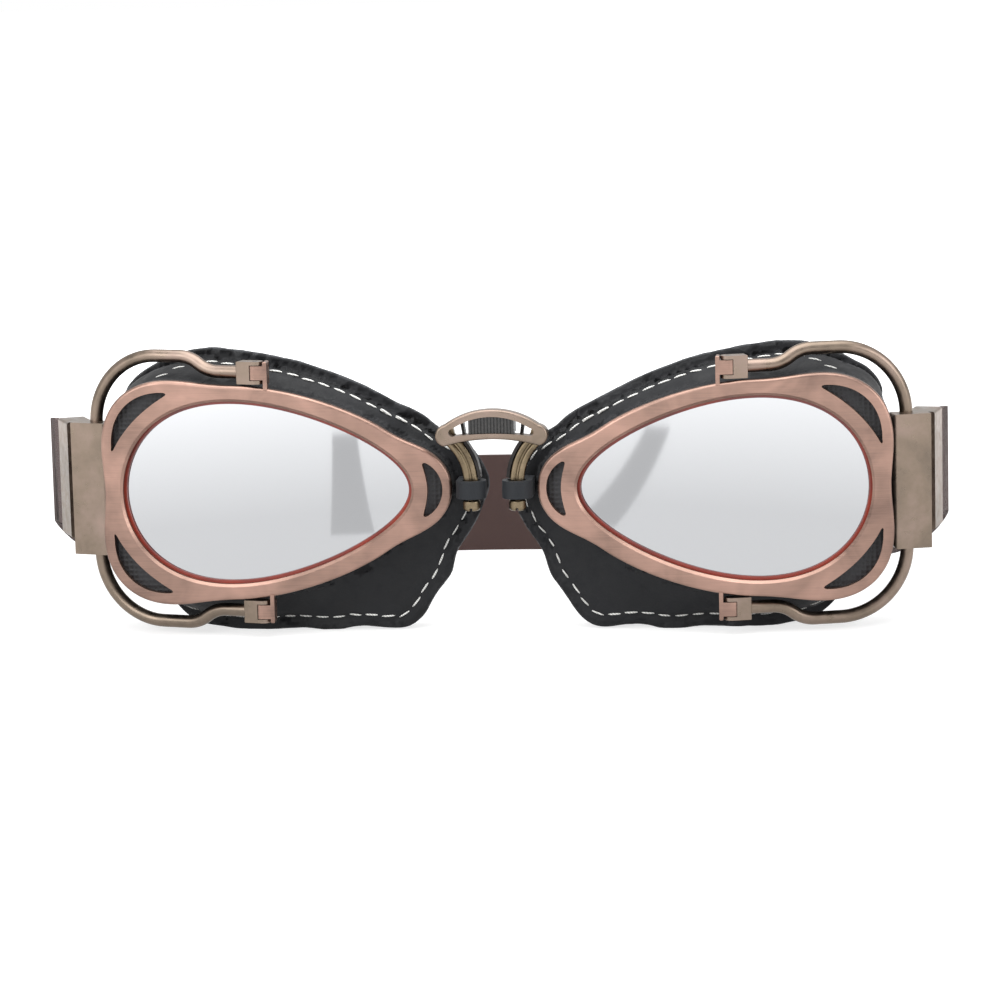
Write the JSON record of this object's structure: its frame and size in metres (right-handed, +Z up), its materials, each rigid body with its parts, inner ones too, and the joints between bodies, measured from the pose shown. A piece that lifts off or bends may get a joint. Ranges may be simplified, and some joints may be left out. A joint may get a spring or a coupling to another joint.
{
  "type": "aviator flying goggles",
  "caption": "Flying goggles with curved slotted metal eye cups, mirrored lenses, leather masks, an adjustable nose bridge, swinging wire bails and a webbing strap with slide buckles",
  "frame": {"origin": "centre of the bounding box in X and Y, at the surface that the goggles stand on", "axes": "+X points to the right in the front view and is the longest extent, +Y runs from the lenses back to the rear of the strap, +Z is up and is the shortest extent. The lenses face -Y"},
  "size_m": [0.2102, 0.1192, 0.064],
  "materials": {
    "bezel_metal": "brushed antique copper plate",
    "lens_mirror": "silver mirror coating",
    "seal_rubber": "dark red seal",
    "frame_paint": "dark lacquer",
    "mesh_metal": "fine dark mesh",
    "dark_steel": "blackened steel",
    "mask_leather": "soft matt grain",
    "pad_cover": "soft plush",
    "loop_leather": "smooth leather",
    "bail_bronze": "antique bronze plate",
    "slide_metal": "antique bronze plate",
    "bridge_bronze": "antique bronze plate",
    "bumper_rubber": "ribbed black rubber",
    "strap_webbing": "ribbed elastic webbing"
  },
  "bodies": {
    "bridge": {"bridge_yoke": "bridge_bronze", "bridge_bumper": "bumper_rubber", "left_arm_pin": "dark_steel", "right_arm_pin": "dark_steel", "strap_rear": "strap_webbing", "left_strap_side": "strap_webbing", "right_strap_side": "strap_webbing"},
    "left_arm_body": {"left_arm": "bridge_bronze", "left_arm_leaf": "dark_steel", "left_arm_cap": "bridge_bronze"},
    "left_cup": {"left_front_frame": "bezel_metal", "left_lens": "lens_mirror", "left_lens_seal": "seal_rubber", "left_back_frame": "frame_paint", "left_vent_mesh": "mesh_metal", "left_frame_screws": "dark_steel", "left_leather_skirt": "mask_leather", "left_face_pad": "pad_cover", "left_leather_loop": "loop_leather", "left_hinge_pins": "dark_steel"},
    "left_bail_body": {"left_bail": "bail_bronze", "left_strap_bracket": "bail_bronze", "left_strap_loop": "strap_webbing"},
    "left_slide_body": {"left_strap_slide": "slide_metal"},
    "right_arm_body": {"right_arm": "bridge_bronze", "right_arm_leaf": "dark_steel", "right_arm_cap": "bridge_bronze"},
    "right_cup": {"right_front_frame": "bezel_metal", "right_lens": "lens_mirror", "right_lens_seal": "seal_rubber", "right_back_frame": "frame_paint", "right_vent_mesh": "mesh_metal", "right_frame_screws": "dark_steel", "right_leather_skirt": "mask_leather", "right_face_pad": "pad_cover", "right_leather_loop": "loop_leather", "right_hinge_pins": "dark_steel"},
    "right_bail_body": {"right_bail": "bail_bronze", "right_strap_bracket": "bail_bronze", "right_strap_loop": "strap_webbing"},
    "right_slide_body": {"right_strap_slide": "slide_metal"}
  },
  "joints": [
    {"name": "left_arm_pivot", "type": "hinge", "parent": "bridge", "child": "left_arm_body", "pos_m": [-0.00522, -0.05538, 0.04505], "axis": [0, 1, 0], "range_deg": [-4, 4], "deforming": ["left_strap_side"]},
    {"name": "left_cup_turn", "type": "hinge", "parent": "left_arm_body", "child": "left_cup", "pos_m": [-0.00002, -0.05538, 0.03265], "axis": [0, 0, 1], "range_deg": [-16, 6], "deforming": ["left_strap_side"]},
    {"name": "left_bail_swing", "type": "hinge", "parent": "left_cup", "child": "left_bail_body", "pos_m": [-0.04697, -0.05738, 0.03265], "axis": [0, 0, 1], "range_deg": [-3, 30], "deforming": ["left_strap_side"]},
    {"name": "left_slide_shift", "type": "slide", "parent": "left_bail_body", "child": "left_slide_body", "axis": [-0.4226, 0.9063, 0], "range_m": [-0.004, 0.004]},
    {"name": "right_arm_pivot", "type": "hinge", "parent": "bridge", "child": "right_arm_body", "pos_m": [0.01538, -0.05538, 0.04505], "axis": [0, 1, 0], "range_deg": [-4, 4], "deforming": ["right_strap_side"]},
    {"name": "right_cup_turn", "type": "hinge", "parent": "right_arm_body", "child": "right_cup", "pos_m": [0.01018, -0.05538, 0.03265], "axis": [0, 0, 1], "range_deg": [-6, 16], "deforming": ["right_strap_side"]},
    {"name": "right_bail_swing", "type": "hinge", "parent": "right_cup", "child": "right_bail_body", "pos_m": [0.05713, -0.05738, 0.03265], "axis": [0, 0, 1], "range_deg": [-30, 3], "deforming": ["right_strap_side"]},
    {"name": "right_slide_shift", "type": "slide", "parent": "right_bail_body", "child": "right_slide_body", "axis": [0.1908, 0.9816, 0], "range_m": [-0.004, 0.004]}
  ]
}
